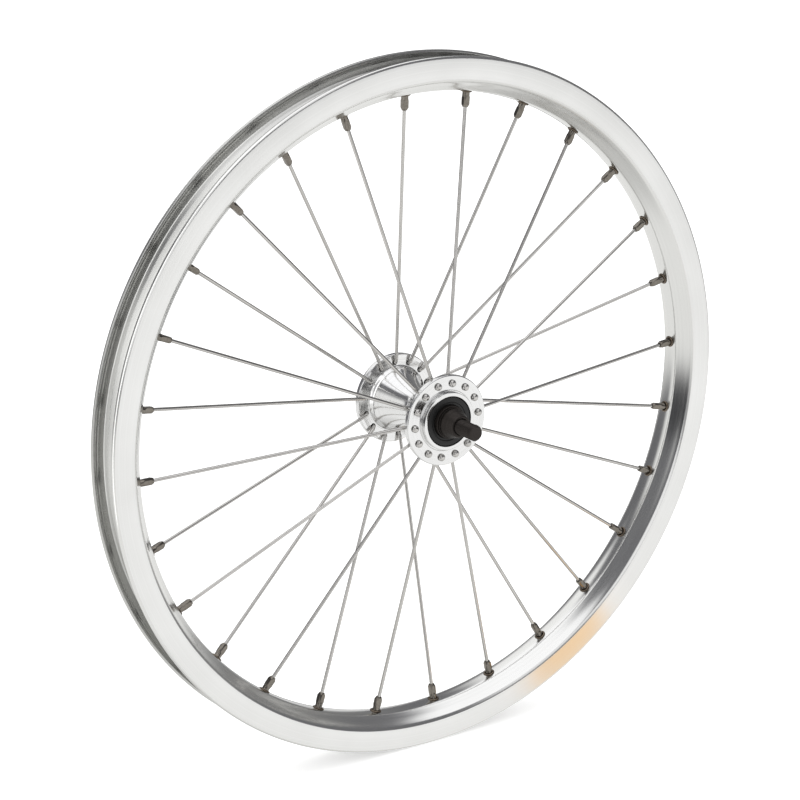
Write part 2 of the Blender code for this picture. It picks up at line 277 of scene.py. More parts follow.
@dataclass
class Bore:
    """A row of round holes through a turned surface, all at one place of its profile.

    Attributes:
        rows: the patch's first and last profile row, the lower one across the drill first.
        columns: the columns of the holes' middles.
        radius: the hole's radius in metres.
        chamfer: the width and depth of its bevel.
        inward: the way into the metal, as a sign along the drill.
        radial: whether it points to the wheel's axis, or else lies along it.
        middle: the distance from that axis of a hole along it.
    """

    rows: tuple[int, int]
    columns: Array
    radius: float
    chamfer: float
    inward: int
    radial: bool = True
    middle: float = 0.0

    def border(self) -> tuple[Array, Array]:
        """The patch's border, once round: its profile rows, and its columns from the hole's middle."""
        low, high = self.rows
        step = 1 if high > low else -1
        up = np.arange(low, high, step)
        across = np.arange(-PATCH_COLUMNS, PATCH_COLUMNS)
        row = np.concatenate([np.full(len(across), low), up, np.full(len(across), high), up[::-1] + step])
        sides = [np.full(len(up), sign * PATCH_COLUMNS) for sign in (1, -1)]
        return row, np.concatenate([across, sides[0], -across, sides[1]])

    def axes(self, angle: Array) -> tuple[Array, Array, Array]:
        """Each hole's own axes.

        Args:
            angle: the holes' angles.

        Returns:
            Sideways round the wheel, upwards across the drill, and along the drill, one row a hole.
        """
        out = np.stack([np.cos(angle), 0 * angle, np.sin(angle)], -1)
        sideways = np.stack([-np.sin(angle), 0 * angle, np.cos(angle)], -1)
        along = np.broadcast_to([0.0, 1.0, 0.0], out.shape)
        return (sideways, along, out) if self.radial else (sideways, out, along)


def turned_skin(surface: Surface, profile: Array, columns: int, bores: Sequence[Bore], slots: Array) -> list[Array]:
    """A closed profile turned about Y, with patches opened into round holes.

    In a patch the quads give way to rings. With p the patch's border and c the circle of the hole, both as offsets
    from the drill's axis, the rings lie at (1-t) p + t c. They keep to the turned surface: with r the profile's radius
    at a point's y and u its offset across the drill, its height along a drill that points to the axis is
    sqrt(r^2 - u^2).

    Args:
        surface: takes the points and quads.
        profile: (radius, y) rows in millimetres, the last leading back to the first.
        columns: angles round the axis, the first on the first spoke.
        bores: the rows of holes.
        slots: the material slot of each gap between rows.

    Returns:
        For each bore the point numbers of its last rings, one row a hole.
    """
    angles = FIRST_SPOKE + turns(columns)
    grid = spun(*np.hsplit(profile, 2), angles)
    numbers = surface.add_points(grid)
    keep = np.ones((len(profile), columns), bool)
    edges = []
    for bore in bores:
        low, high = sorted(bore.rows)
        row, column = bore.border()
        around = (bore.columns[:, None] + column) % columns
        axes = bore.axes(angles[bore.columns])
        u, v, depth = (np.einsum("hpx,hx->hp", grid[row, around], axis) for axis in axes)
        v = v - bore.middle
        section = profile[low : high + 1] * MM
        section = section[np.argsort(section[:, 1])]
        turn = turns(len(row)) - math.radians(135)
        rings = [numbers[row, around]]
        plan = [(share, bore.radius + bore.chamfer, 0.0) for share in RING_SHARES]
        plan += [(1.0, bore.radius, bore.chamfer)]
        for share, radius, sink in plan:
            ring_u = (1 - share) * u + share * radius * np.cos(turn)
            ring_v = (1 - share) * v + share * radius * np.sin(turn)
            drum = np.interp(ring_v, section[:, 1], section[:, 0])
            height = np.sqrt(drum**2 - ring_u**2) if bore.radial else depth
            offsets = (ring_u, ring_v + bore.middle, height + sink * bore.inward)
            place = sum(offset[..., None] * axis[:, None] for offset, axis in zip(offsets, axes))
            rings.append(surface.add_points(place))
        surface.add_sleeves(rings, int(slots[low]))
        cleared = bore.columns[:, None] + np.arange(-PATCH_COLUMNS, PATCH_COLUMNS)
        keep[np.ix_(np.arange(low, high), np.unique(cleared % columns))] = False
        edges.append(rings[-1])
    surface.add_band(numbers, slots, keep, closed=True)
    return edges


def settle(piece: Object, body: str, slot: str, *nodes: str) -> None:
    """Puts a finished piece on its body, in place of the solids it stands for.

    Args:
        piece: the object.
        body: the body that carries it.
        slot: the name of a material slot; not used.
        nodes: the solids it replaces.
    """
    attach(piece, body)
    if nodes:
        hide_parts(*nodes)
    log.info("%s: %d faces, on %s", piece.name, len(piece.data.polygons), body)


# ---- finishes


def colour(code: str) -> tuple[float, ...]:
    """A colour as shaders take it.

    Args:
        code: sRGB as six hex digits after a #.

    Returns:
        Linear red, green and blue, and 1.
    """
    share = np.array([int(code[i : i + 2], 16) for i in (1, 3, 5)]) / 255
    flat = np.where(share <= 0.04045, share / 12.92, ((share + 0.055) / 1.055) ** 2.4)
    return (*(float(c) for c in flat), 1.0)


def add_node(tree: NodeTree, kind: str, settings: dict[str, Any] | None = None, **sockets: Any) -> Node:
    """Adds a node.

    Args:
        tree: the material's or the world's nodes.
        kind: the node's type name, without "ShaderNode".
        settings: its properties.
        sockets: a value, or an output to link, for each input. "_" stands for a space, and i0, i1 for a number.

    Returns:
        The node.
    """
    node = tree.nodes.new("ShaderNode" + kind)
    for key, value in (settings or {}).items():
        setattr(node, key, value)
    for key, value in sockets.items():
        numbered = key[0] == "i" and key[1:].isdigit()
        socket = node.inputs[int(key[1:]) if numbered else key.replace("_", " ")]
        if isinstance(value, NodeSocket):
            tree.links.new(value, socket)
        else:
            socket.default_value = value
    return node


@dataclass(frozen=True)
class Metal:
    """A metal and how its surface was made.

    Attributes:
        name: the material's name.
        light: its colour where the marks are brightest.
        dark: its colour where they are dullest.
        roughness: the smoothest and the roughest it gets.
        grain: the way the marks run.
        pitch_mm: the spacing of the marks, or for drawn ones 1000 times their part of the piece's radius.
        depth_mm: how deep they look.
        metallic: 1 for bare metal, 0 for a moulding.
    """

    name: str
    light: str
    dark: str
    roughness: Pair
    grain: Grain
    pitch_mm: float
    depth_mm: float
    metallic: float = 1.0

    def marks_vector(self, tree: NodeTree) -> NodeSocket:
        """The coordinates the marks are drawn in.

        Args:
            tree: the material's nodes.

        Returns:
            Object coordinates, (radius, y) for turned marks, or the piece's own grain for drawn ones.
        """
        if self.grain is Grain.DRAWN:
            return add_node(tree, "Attribute", {"attribute_name": "grain"}).outputs["Vector"]
        place = add_node(tree, "TexCoord").outputs["Object"]
        if self.grain is Grain.CAST:
            return place
        flat = add_node(tree, "VectorMath", {"operation": "MULTIPLY"}, i0=place, i1=(1, 0, 1))
        radius = add_node(tree, "VectorMath", {"operation": "LENGTH"}, i0=flat.outputs[0])
        parts = add_node(tree, "SeparateXYZ", Vector=place)
        return add_node(tree, "CombineXYZ", X=radius.outputs["Value"], Y=parts.outputs["Y"]).outputs[0]

    def make(self) -> Material:
        """Builds the material: fine marks and slow blotches drive its colour, roughness and bump."""
        made = bpy.data.materials.new(self.name)
        made.use_nodes = True
        tree = made.node_tree
        shader = tree.nodes["Principled BSDF"]
        shader.inputs["Metallic"].default_value = self.metallic
        vector, scale = self.marks_vector(tree), 1 / (self.pitch_mm * MM)
        marks = add_node(tree, "TexNoise", Vector=vector, Scale=scale, Detail=3.0, Roughness=0.6).outputs["Fac"]
        place = add_node(tree, "TexCoord").outputs["Object"]
        blotch = add_node(tree, "TexNoise", Vector=place, Scale=1 / BLOTCH_SIZE, Detail=2.0)
        both = add_node(tree, "Math", {"operation": "MULTIPLY_ADD"}, i0=blotch.outputs["Fac"], i1=0.5, i2=-0.25)
        tone = add_node(tree, "Math", {"operation": "ADD", "use_clamp": True}, i0=marks, i1=both.outputs[0]).outputs[0]
        shade = add_node(tree, "Mix", {"data_type": "RGBA"}, i0=tone, i6=colour(self.dark), i7=colour(self.light))
        smooth, rough = self.roughness
        gloss = add_node(tree, "MapRange", Value=tone, From_Min=0.25, From_Max=0.75, To_Min=rough, To_Max=smooth)
        bump = add_node(tree, "Bump", Height=marks, Distance=self.depth_mm * MM, Strength=1.0)
        tree.links.new(shade.outputs[2], shader.inputs["Base Color"])
        tree.links.new(gloss.outputs[0], shader.inputs["Roughness"])
        tree.links.new(bump.outputs[0], shader.inputs["Normal"])
        return made


# Extruded aluminium, bent to a hoop and given a clear satin anodising: soft bright bands that follow the section.
EXTRUDED_RIM = Metal("extruded_anodised_aluminium", "#E6E6E4", "#DEDEDC", (0.15, 0.2), Grain.TURNED, 1.1, 0.001)
# The same rim inside the tyre channel, where nothing polished the extrusion: the same bands, but softer, in a darker
# grey that is painted shade of the channel's recess.
CHANNEL_WITH_PAINTED_SHADE = Metal("channel_aluminium_with_painted_shade", "#CBCBC9", "#C2C2BF", (0.25, 0.29), Grain.TURNED, 1.1, 0.0005)
# The same rim where the brake tracks were turned flat: a paler face with fine rings, which scatter the light.
TURNED_TRACK = Metal("turned_aluminium_track", "#F2F2F1", "#E3E3E1", (0.3, 0.4), Grain.TURNED, 0.55, 0.012)
# A forged and lathe-polished shell: almost a mirror, with faint turning rings.
POLISHED_SHELL = Metal("polished_forged_aluminium", "#EEEEEE", "#DDDDDC", (0.08, 0.18), Grain.TURNED, 0.7, 0.004)
# Cold-drawn stainless wire: grey and bright, with faint streaks along it.
DRAWN_WIRE = Metal("drawn_stainless_wire", "#D8D6D3", "#B0AEAB", (0.12, 0.22), Grain.DRAWN, 400.0, 0.003)
# Brass nipples under thin nickel that has gone dull: a dark, warm grey with small sharp highlights.
NICKELED_BRASS = Metal("nickel_plated_brass", "#9A958D", "#58524B", (0.09, 0.18), Grain.CAST, 0.8, 0.004)
# Pressed eyelets: plated steel, dull, and dark brown all over: the dark brown is painted shade round each nipple's
# foot.
EYELET_WITH_PAINTED_SHADE = Metal("plated_steel_with_painted_shade", "#8C8072", "#5A5048", (0.28, 0.42), Grain.CAST, 0.7, 0.006)
# Black oxide on machined steel: nearly black, with a soft oily sheen.
BLACK_OXIDE = Metal("black_oxide_steel", "#3D3835", "#24201E", (0.32, 0.48), Grain.TURNED, 0.5, 0.012, 0.7)
# Moulded nylon caps: black with an even, fine moulded skin.
MOULDED_CAP = Metal("moulded_black_nylon", "#121212", "#090909", (0.42, 0.55), Grain.CAST, 0.5, 0.01, 0.0)
# Ground and hardened bearing steel: a cool mirror with the finest of rings.
GROUND_STEEL = Metal("ground_bearing_steel", "#BFC0C4", "#A7A8AC", (0.08, 0.16), Grain.TURNED, 0.4, 0.002)


# ---- studio

CARD_COLUMNS = 25
FLOOR_HALF_SIZE = 6
ALL_ROUND = (-3.0, -2.0)  # a range that every direction is past


@dataclass(frozen=True)
class Wall:
    """A part of the studio seen only in reflections: a sector of azimuth between two heights, with soft edges.

    Attributes:
        azimuth: the direction of its middle, in degrees from +X towards +Y.
        reach: degrees from the middle where it starts to fade and where it ends. From 180 up it is all round.
        foot: the sines of elevation where it starts and where it is full.
        head: the sines where it starts to fade and where it ends.
        tone: its linear red, green and blue.
    """

    azimuth: float
    reach: Pair
    foot: Pair
    head: Pair
    tone: Triple


@dataclass(frozen=True)
class Card:
    """A bent card beside the wheel, which throws a light or a colour onto the metal next to it.

    Attributes:
        name: the object's name.
        edges: (radius, y) in millimetres of its long edges, which are arcs about the wheel's axis.
        angles: where they begin and end, in degrees from +X towards +Z.
        tone: its linear red, green and blue.
    """

    name: str
    edges: tuple[Pair, Pair]
    angles: Pair
    tone: Triple


@dataclass(frozen=True)
class Studio:
    """The floor, the light and the camera.

    Attributes:
        location: where the camera is, in metres.
        back: the direction from what it looks at towards it.
        lens_mm: focal length on a sensor 36 mm wide.
        floor_z: the floor's height.
        floor_tone: the floor in reflections.
        cards: what stands close to the wheel.
        walls: what stands round it, each over those before it.
    """

    location: Triple = (-0.72096, -1.06629, 0.41167)
    back: Triple = (-0.52788, -0.79392, 0.30170)
    lens_mm: float = 119.9
    floor_z: float = -0.1812
    floor_tone: Triple = (0.97, 0.97, 0.96)
    cards: tuple[Card, ...] = (
        Card("white_card", ((252.0, -79.0), (280.0, -40.0)), (112, 196), (1.9, 1.9, 1.9)),
        Card("warm_card", ((184.0, -56.0), (238.0, -56.0)), (298, 313), (1.14, 0.79, 0.45)),
    )
    walls: tuple[Wall, ...] = (
        Wall(0, (200, 210), (-1.2, -1.1), (-0.97, -0.8), (0.68, 0.68, 0.67)),  # the wheel's own shade on the table
        Wall(0, (200, 210), (-0.34, -0.08), (1.1, 1.2), (0.165, 0.165, 0.175)),  # the room's walls
        Wall(15, (25, 40), (-0.3, 0.2), (0.4, 0.7), (0.22, 0.22, 0.22)),  # room to the right, brighter low down
        Wall(22, (16, 26), (-0.6, -0.5), (-0.2, 0.12), (0.95, 0.95, 0.94)),  # table running off to the right
        Wall(175, (22, 34), (-0.6, -0.5), (0.3, 0.6), (0.95, 0.95, 0.94)),  # pale wall to the left
        Wall(213, (12, 22), (-0.3, -0.12), (0.02, 0.14), (0.04, 0.04, 0.045)),  # dark gap beside it
        Wall(250, (17, 24), (-0.1, 0.0), (0.4, 0.6), (1.05, 1.05, 1.06)),  # window behind the camera
        Wall(270, (18, 27), (0.33, 0.5), (1.1, 1.2), (0.95, 0.95, 0.96)),  # its upper part, to the right
        Wall(56, (8, 16), (-0.3, -0.1), (0.1, 0.2), (0.8, 0.8, 0.8)),  # gap between backdrop and table
        Wall(54, (5, 11), (-0.42, -0.36), (-0.25, -0.18), (0.08, 0.08, 0.08)),  # dark foot of the backdrop
        Wall(95, (22, 36), (0.35, 0.55), (1.1, 1.2), (1.1, 1.1, 1.1)),  # backdrop
        Wall(303, (28, 40), (-0.5, -0.4), (-0.06, 0.12), (1.08, 1.08, 1.075)),  # pale floor in front
        Wall(0, (200, 210), (0.755, 0.84), (1.1, 1.2), (1.25, 1.25, 1.27)),  # softbox overhead
    )

    def add_camera(self) -> None:
        """Looks along -back, with +Z up in the picture: right = Z x back, up = back x right."""
        back = np.array(self.back) / np.linalg.norm(self.back)
        right = np.cross([0, 0, 1], back)
        right /= np.linalg.norm(right)
        data = bpy.data.cameras.new("camera")
        data.lens = self.lens_mm
        data.sensor_width = 36
        data.clip_start = 0.01
        camera = link("camera", data)
        place = np.eye(4)
        place[:3] = np.stack([right, np.cross(back, right), back, self.location], 1)
        camera.matrix_world = Matrix(place.tolist())
        bpy.context.scene.camera = camera

    def add_world(self) -> None:
        """White for the eye and for dull surfaces, and a plain room of soft walls for mirrors."""
        world = bpy.data.worlds.new("studio")
        world.use_nodes = True
        tree = world.node_tree
        tree.nodes.clear()
        towards = add_node(tree, "TexCoord").outputs["Generated"]
        height = add_node(tree, "SeparateXYZ", Vector=towards).outputs["Z"]
        flat = add_node(tree, "VectorMath", {"operation": "MULTIPLY"}, i0=towards, i1=(1, 1, 0)).outputs[0]
        level = add_node(tree, "VectorMath", {"operation": "NORMALIZE"}, i0=flat).outputs[0]
        shade: Any = (*self.floor_tone, 1)
        for wall in self.walls:
            middle = math.radians(wall.azimuth)
            centre = (math.cos(middle), math.sin(middle), 0)
            match = add_node(tree, "VectorMath", {"operation": "DOT_PRODUCT"}, i0=level, i1=centre).outputs["Value"]
            full, end = (math.cos(math.radians(reach)) for reach in wall.reach)
            sector = ALL_ROUND if wall.reach[0] >= 180 else (end, full)
            weight: Any = 1.0
            for value, (start, stop) in ((match, sector), (height, wall.foot), (height, wall.head[::-1])):
                soft = {"interpolation_type": "SMOOTHSTEP"}
                part = add_node(tree, "MapRange", soft, Value=value, From_Min=start, From_Max=stop)
                weight = add_node(tree, "Math", {"operation": "MULTIPLY"}, i0=weight, i1=part.outputs[0]).outputs[0]
            mixed = add_node(tree, "Mix", {"data_type": "RGBA"}, i0=weight, i6=shade, i7=(*wall.tone, 1))
            shade = mixed.outputs[2]
        mirror = add_node(tree, "Background", Color=shade, Strength=1.0).outputs[0]
        plain = add_node(tree, "Background", Color=(1, 1, 1, 1), Strength=1.0).outputs[0]
        glossy = add_node(tree, "LightPath").outputs["Is Glossy Ray"]
        choice = add_node(tree, "MixShader", i0=glossy, i1=plain, i2=mirror)
        add_node(tree, "OutputWorld", Surface=choice.outputs[0])
        bpy.context.scene.world = world

    def add_floor(self) -> None:
        """A plain pale floor that mirrors don't see, because the world stands for it there."""
        bm = bmesh.new()
        bmesh.ops.create_grid(bm, x_segments=1, y_segments=1, size=FLOOR_HALF_SIZE)
        mesh = bpy.data.meshes.new("floor")
        bm.to_mesh(mesh)
        bm.free()
        mesh.transform(Matrix.Translation((0, 0, self.floor_z)))
        made = bpy.data.materials.new("pale_floor")
        made.use_nodes = True
        inputs = made.node_tree.nodes["Principled BSDF"].inputs
        inputs["Base Color"].default_value = colour("#FCFCFC")
        inputs["Roughness"].default_value = 0.9
        inputs["Specular IOR Level"].default_value = 0.0
        inputs["Emission Color"].default_value = (1, 1, 1, 1)
        inputs["Emission Strength"].default_value = 0.4
        mesh.materials.append(made)
        floor = link("floor", mesh)
        floor.visible_glossy = False

    def add_card(self, card: Card) -> None:
        """Puts up a card that nothing but a mirror sees.

        Args:
            card: its place and tone.
        """
        made = bpy.data.materials.new(card.name)
        made.use_nodes = True
        made.node_tree.nodes.clear()
        glow = add_node(made.node_tree, "Emission", Color=(*card.tone, 1), Strength=1.0)
        add_node(made.node_tree, "OutputMaterial", Surface=glow.outputs[0])
        angle = np.radians(np.linspace(*card.angles, CARD_COLUMNS))
        surface = Surface()
        numbers = surface.add_points(spun(*np.hsplit(np.array(card.edges), 2), angle))
        surface.add_band(numbers, keep=np.arange(CARD_COLUMNS)[None] < CARD_COLUMNS - 1)
        piece = surface.to_object(card.name, [made])
        piece.visible_camera = piece.visible_diffuse = piece.visible_shadow = False

    def build(self) -> None:
        """Sets up the camera, the world, the floor and the cards."""
        bpy.context.scene.view_settings.view_transform = "Standard"
        self.add_camera()
        self.add_world()
        self.add_floor()
        for card in self.cards:
            self.add_card(card)


# ---- rim


@dataclass
class Rim:
    """A double-wall hoop: flat brake tracks, hooked tyre channel, and a raised band that holds the nipples.

    The outer skin and the cavity's skin are one closed surface, joined through the holes.
    """

    radius: float = 181.0
    half_width: float = 11.65
    channel_half: float = 10.1
    track_inner: float = 169.4
    seat_radius: float = 174.5
    well_radius: float = 170.9
    well_half: float = 5.2
    well_thickness: float = 1.3
    bed_half: float = 4.1
    bed_crown: float = 0.45
    face_bulge: float = 0.35
    bed_reach: float = 3.6
    well_reach: float = 4.85
    cavity_reach: float = 4.8
    nipple_hole_radius: float = 2.5
    access_hole_radius: float = 4.2
    valve_hole_radius: float = 3.25
    hole_chamfer: float = 0.15
    columns_a_pitch: int = 20

    def outer_half(self) -> Corners:
        """The left side's skin from the well out over the lip and in to the bed, as corners with their cuts."""
        seat, channel, side, lip = self.seat_radius, self.channel_half, self.half_width, self.radius
        track, bed, bed_side = self.track_inner, BED_RADIUS + self.bed_crown, self.bed_half
        shoulder = (track + BED_RADIUS) / 2
        tyre = [(self.well_radius, self.well_half + 0.1, 0.4), (seat - 1.0, channel - 2.0, 0.5)]
        tyre += [(seat, channel - 0.15, 0.5), (lip - 3.0, channel, 0.7)]
        hook = [(lip - 1.5, channel - 1.0, 0.45), (lip - 0.25, channel - 0.75, 0.35), (lip, channel + 0.45, 0.3)]
        wall = [(lip - 0.25, side - 0.45, 0.35), (lip - 1.2, side, 0.4), (track, side, 0.25)]
        face = [(track - 1.35, side - 0.75, 0.55), (shoulder + 0.1, side - 4.0 + self.face_bulge, 1.6)]
        return [*tyre, *hook, *wall, *face, (bed + 0.35, bed_side + 0.75, 0.25), (bed, bed_side, 0.2)]

    def outer_profile(self) -> Array:
        """The whole outer skin, with even rows over the bed and the well for their holes.

        The bed is crowned: radius = bed radius + crown * (y / half width) ** 2.
        """
        left = rounded(self.outer_half(), steps=2)
        even = np.linspace(-1, 1, PATCH_ROWS)
        across = -even * self.bed_reach
        bed = np.stack([BED_RADIUS + self.bed_crown * (across / self.bed_half) ** 2, across], 1)
        well = np.stack([0 * even + self.well_radius, even * self.well_reach], 1)
        return np.concatenate([left, bed, left[::-1] * [1, -1], well])

    def cavity_profile(self) -> Array:
        """The hollow between the bed and the well."""
        top = BED_RADIUS + BED_THICKNESS
        under = self.well_radius - self.well_thickness
        wall = self.channel_half - 0.3
        even = np.linspace(-1, 1, PATCH_ROWS)
        bed = np.stack([0 * even + top, even * self.bed_reach], 1)
        well = np.stack([0 * even + under, -even * self.cavity_reach], 1)
        left = np.array([(top + 1.9, self.bed_half + 2.7), (self.track_inner - 0.2, wall), (under + 2.4, wall)])
        return np.concatenate([bed, left, well, left[::-1] * [1, -1]])

    def bores(self, profile: Array, cavity: bool) -> list[Bore]:
        """The nipple and valve holes of the bed, then the access and valve holes of the well.

        Args:
            profile: the skin's rows.
            cavity: whether this is the cavity's skin.

        Returns:
            Four rows of holes.
        """
        spokes = np.arange(SPOKE_COUNT) * self.columns_a_pitch
        valve = np.array([int(VALVE_PLACE * self.columns_a_pitch)])
        bed_level, well_level = BED_RADIUS + cavity * BED_THICKNESS, self.well_radius - cavity * self.well_thickness
        bed, well = (
            face_rows(np.maximum(np.abs(profile[:, 0] - level) - self.bed_crown, 0), profile[:, 1], (-reach, reach))
            for level, reach in (
                (bed_level, self.bed_reach),
                (well_level, self.cavity_reach if cavity else self.well_reach),
            )
        )
        inward = -1 if cavity else 1
        return [
            Bore(rows, columns, radius * MM, self.hole_chamfer * MM, sign)
            for rows, columns, radius, sign in (
                (bed, spokes, self.nipple_hole_radius, inward),
                (bed, valve, self.valve_hole_radius, inward),
                (well, spokes, self.access_hole_radius, -inward),
                (well, valve, self.access_hole_radius, -inward),
            )
        ]

    def build(self) -> None:
        """Makes the rim and puts it on the wheel."""
        surface = Surface()
        columns = SPOKE_COUNT * self.columns_a_pitch
        outer, cavity = self.outer_profile(), self.cavity_profile()
        radius, out = ((np.abs(outer) + np.abs(np.roll(outer, -1, axis=0))) / 2).T
        track = out > self.half_width - 0.06
        # the faces in the tyre channel, which take the darker grey of painted shade
        channel = (radius > self.well_radius - 0.1) & (out < self.channel_half + 0.1)
        outside = turned_skin(surface, outer, columns, self.bores(outer, False), track + 2 * channel)
        inside = turned_skin(surface, cavity, columns, self.bores(cavity, True), np.zeros(len(cavity), int))
        for pair in zip(outside, inside):
            surface.add_sleeves(pair)
        rim = surface.to_object("rim_hoop", [EXTRUDED_RIM.make(), TURNED_TRACK.make(), CHANNEL_WITH_PAINTED_SHADE.make()])
        settle(rim, WHEEL, "rim_alloy", "rim")


# ---- spokes, nipples and eyelets


@dataclass
class Lacing:
    """28 radial spokes, each with a nipple and an eyelet.

    A path has its spoke along +X. Its rows are (distance out, y, turn, ring radius), with turn the path's angle to Y.
    """

    wire_radius: float = 0.9
    wire_inset: float = 0.45
    bend_radius: float = 2.0
    head_radius: float = 1.9
    head_height: float = 1.5
    head_gap: float = 0.3
    nipple_length: float = 8.0
    nipple_head_height: float = 2.6
    wire_sides: int = 16
    nipple_sides: int = 24

    def turn(self) -> float:
        """The angle between the straight and the Y axis."""
        run = BED_RADIUS + BED_THICKNESS / 2 - HOLE_CIRCLE - self.bend_radius
        return math.pi / 2 - math.atan2(FLANGE_INNER + self.wire_inset - self.bend_radius, run)

    def straight(self, out: Array, ring: Array | float) -> Array:
        """Rows on the line of the straight spoke, which meets the middle plane halfway through the bed.

        Args:
            out: the rows' distances from the axle.
            ring: their ring radii.

        Returns:
            The path's rows.
        """
        y = (BED_RADIUS + BED_THICKNESS / 2 - out) / math.tan(self.turn())
        return np.stack([out, y, 0 * out + self.turn(), 0 * out + ring], 1)

    def wire_path(self) -> Array:
        """The wire from its domed head, round its bend, to inside the nipple."""
        out, thick, start = HOLE_CIRCLE, self.wire_radius, FLANGE_OUTER + self.head_gap
        part = 1 - np.linspace(0, 1, 7)
        dome = self.head_radius * np.sqrt(1 - part**2)
        head = np.stack([0 * part + out, start + self.head_height * part**0.8, 0 * part, dome], 1)
        neck = np.array([(out, start, 0, self.head_radius * 0.97), (out, start, 0, thick)])
        turn = np.linspace(0, self.turn(), 11)
        low = FLANGE_INNER + self.wire_inset
        bend_out, bend_y = out + self.bend_radius * (1 - np.cos(turn)), low - self.bend_radius * np.sin(turn)
        bend = np.stack([bend_out, bend_y, turn, 0 * turn + thick], 1)
        tip = BED_RADIUS - self.nipple_length + 1.5
        straight = self.straight(np.array([30.0, 60.0, 90.0, 120.0, tip]), thick)
        return np.concatenate([head, neck, bend, straight, straight[-1:] * [1, 1, 1, 0]])

    def nipple_path(self) -> tuple[Array, Array]:
        """The nipple's closed path, down its bore and up over its shank and head, and each ring's squareness."""
        tip = BED_RADIUS - self.nipple_length
        seat = BED_RADIUS + BED_THICKNESS + 0.5
        top = seat + self.nipple_head_height
        bore = self.wire_radius + 0.06
        inside = [(top, bore), (top - 0.9, bore), (tip + 1.2, bore), (tip + 0.35, bore), (tip, bore + 0.12)]
        nose = [(tip, 1.34), (tip + 0.12, 1.48), (tip + 0.5, 1.6)]
        shank = [(0.9, 1.62, 3.0), (1.2, 1.62, 7.0), (4.8, 1.62, 7.0), (5.1, 1.68, 4.5), (5.5, 1.8, 2.4)]
        neck = [(tip + 5.7, 1.85), (seat - 0.9, 1.85), (seat - 0.1, 2.3)]
        head = [(seat + 0.35, 2.62), (seat + 0.7, 2.7), (seat + 1.2, 2.66), (seat + 1.8, 2.4)]
        crown = [(top - 0.25, 1.95), (top - 0.03, 1.5), (top, bore)]
        table = np.array(
            [(*row, 2.0) for row in inside + nose]
            + [(tip + up, ring, square) for up, ring, square in shank]
            + [(*row, 2.0) for row in neck + head + crown]
        )
        return self.straight(table[:, 0], table[:, 1]), table[:, 2]

    def eyelet_path(self) -> Array:
        """The eyelet's closed path: a rolled lip on the bed and a collar through it."""
        bed, top = BED_RADIUS, BED_RADIUS + BED_THICKNESS
        lip = [(bed - 0.55, 2.1, 0.12), (bed - 0.6, 2.55, 0.18), (bed - 0.3, 2.95, 0.16), (bed - 0.04, 3.0, 0.05)]
        collar = [(bed - 0.04, 2.42, 0.05), (top + 0.1, 2.42, 0.05), (top + 0.12, 2.75, 0.05)]
        flare = [(top + 0.4, 2.7, 0.08), (top + 0.4, 2.2, 0.08), (top - 0.2, 2.0, 0.1)]
        out, ring = rounded(lip + collar + flare, steps=2, closed=True).T
        return np.stack([out, 0 * out, 0 * out + math.pi / 2, ring], 1)

    def tube(self, path: Array, side: Side, sides: int, squareness: Array | None = None) -> tuple[Array, Array]:
        """Rings across a path.

        A ring's point is centre + radius * (cos a * across + sin a * Z). With squareness n above 2 its radius is
        divided by (|cos a|^n + |sin a|^n)^(1/n), which flattens four sides.

        Args:
            path: the path's rows.
            side: the side of the wheel.
            sides: points in a ring.
            squareness: n for each ring, or None for round ones.

        Returns:
            The points in metres, and their grain: the place round the ring, and how far along the path.
        """
        out, y, turn, ring = np.hsplit(path, 4)
        cos, sin = np.cos(turns(sides)), np.sin(turns(sides))
        n = np.full((len(path), 1), 2.0) if squareness is None else squareness[:, None]
        reach = ring / (np.abs(cos) ** n + np.abs(sin) ** n) ** (1 / n)
        x = out + reach * cos * np.cos(turn)
        across_y = side.value * (y + reach * cos * np.sin(turn))
        length = np.cumsum(np.hypot(np.diff(path[:, 0], prepend=path[0, 0]), np.diff(path[:, 1], prepend=path[0, 1])))
        grain = np.stack([cos + 0 * y, sin + 0 * y, 0.05 * length[:, None] + 0 * cos], -1)
        return np.stack([x, across_y, reach * sin], -1) * MM, grain

    def build(self) -> None:
        """Makes every spoke, nipple and eyelet, and puts them on the wheel."""
        wire, plated, pressed = DRAWN_WIRE.make(), NICKELED_BRASS.make(), EYELET_WITH_PAINTED_SHADE.make()
        nipple_path, squareness = self.nipple_path()
        for side in Side:
            wire_rings = self.tube(self.wire_path(), side, self.wire_sides)
            nipple_rings = self.tube(nipple_path, side, self.nipple_sides, squareness)
            eyelet_rings = self.tube(self.eyelet_path(), side, self.nipple_sides)
            for number in range(SPOKES_PER_SIDE):
                into_place = np.array(Matrix.Rotation(-side.spoke_angle(number), 3, "Y"))
                label = f"{side.word}_{number + 1:02d}"
                for name, (points, grain), finish, slot, closed in (
                    ("wire", wire_rings, wire, "stainless_steel", False),
                    ("nipple", nipple_rings, plated, "stainless_steel", False),
                    # the eyelets take the plated steel whose dark brown is painted shade round the nipples
                    ("eyelet", eyelet_rings, pressed, "rim_alloy", True),
                ):
                    surface = Surface()
                    surface.add_band(surface.add_points(points @ into_place.T, grain), closed=closed)
                    piece = surface.to_object(f"{name}_{label}", [finish])
                    settle(piece, WHEEL, slot, *([f"spoke_{label}"] if name != "eyelet" else []))


# ---- hub


